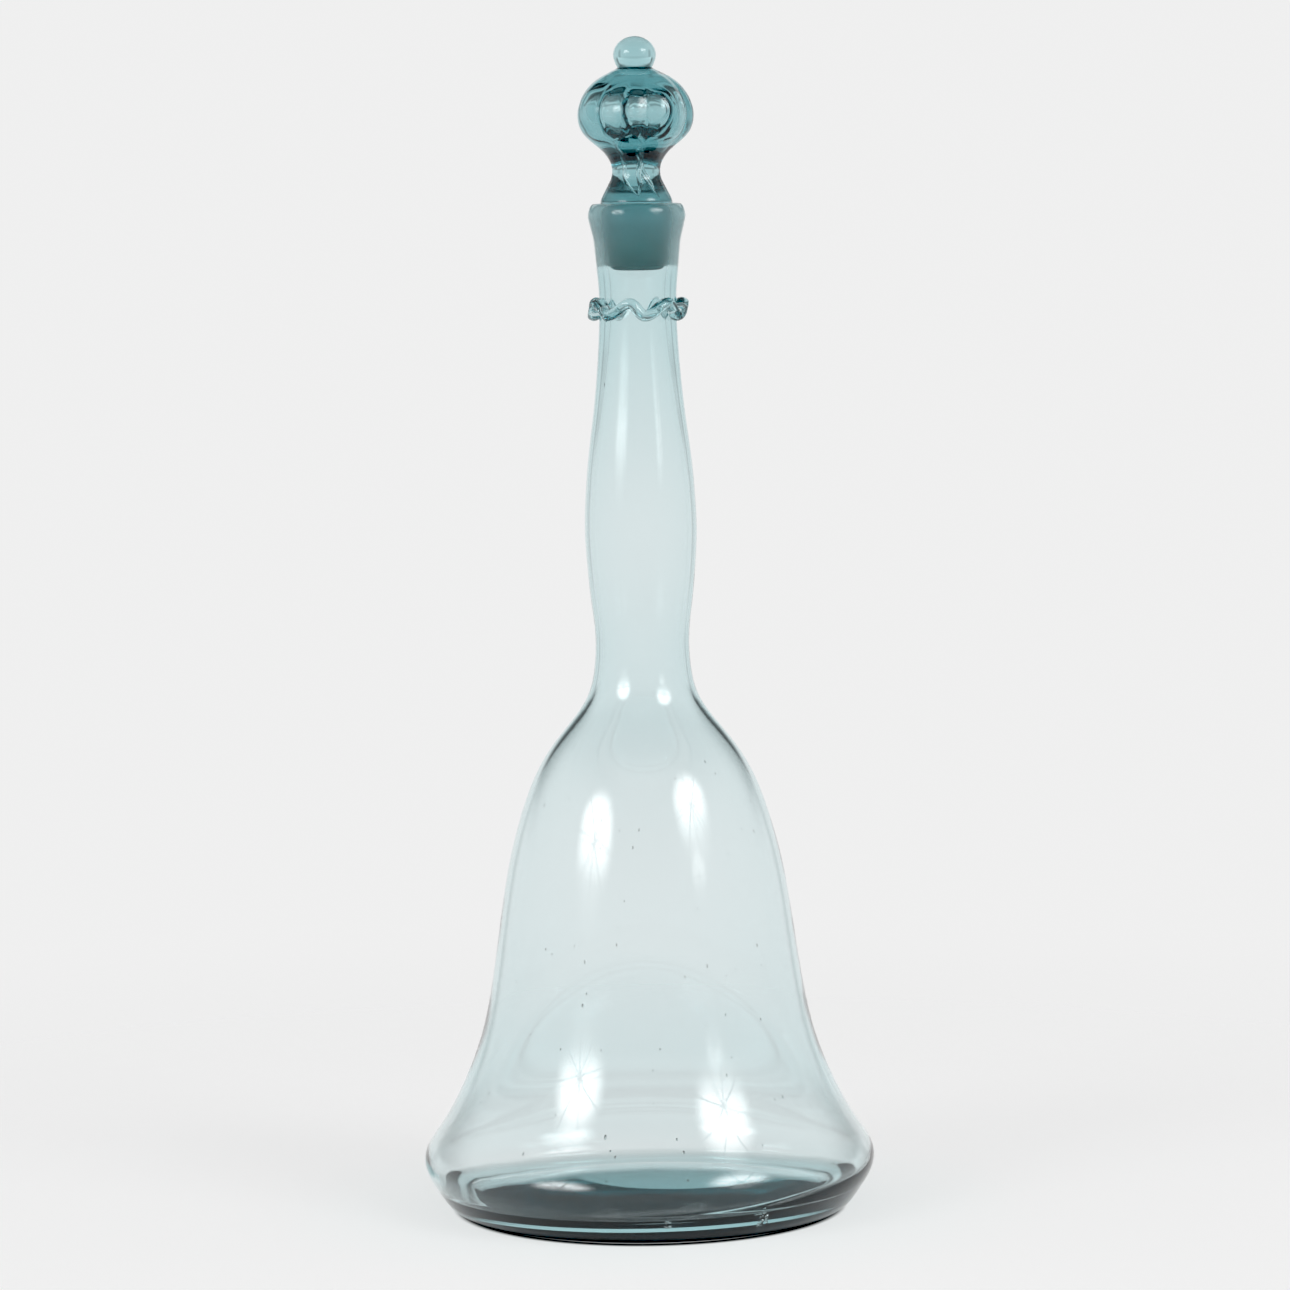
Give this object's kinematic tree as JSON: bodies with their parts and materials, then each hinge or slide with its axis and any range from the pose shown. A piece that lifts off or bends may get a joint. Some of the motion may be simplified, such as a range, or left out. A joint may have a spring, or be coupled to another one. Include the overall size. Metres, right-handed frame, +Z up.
{
  "type": "glass decanter",
  "caption": "Bell-shaped blown glass decanter with a long swelling neck, a pinched glass trail under the flared mouth, and a ribbed stopper that lifts out of its ground seat.",
  "frame": {"origin": "middle of the circle that the base rests on", "axes": "+Z up along the decanter's axis, from the base to the stopper; -Y is the side seen in the picture"},
  "size_m": [0.1286, 0.1286, 0.3316],
  "materials": {
    "vessel_glass": "clear blue-green blown glass, thin in the body and neck, thick in the base, ground matt inside the mouth",
    "trail_glass": "clear blue-green glass thread, fire polished",
    "stopper_glass": "clear blue-green glass, fire polished bulb, ground matt peg",
    "knob_glass": "clear blue-green glass, fire polished"
  },
  "bodies": {
    "vessel": {"vessel": "vessel_glass", "neck_trail": "trail_glass"},
    "stopper": {"stopper": "stopper_glass", "stopper_knob": "knob_glass"}
  },
  "joints": [
    {"name": "stopper_lift", "type": "slide", "parent": "vessel", "child": "stopper", "axis": [0, 0, 1], "range_m": [0, 0.06]}
  ]
}
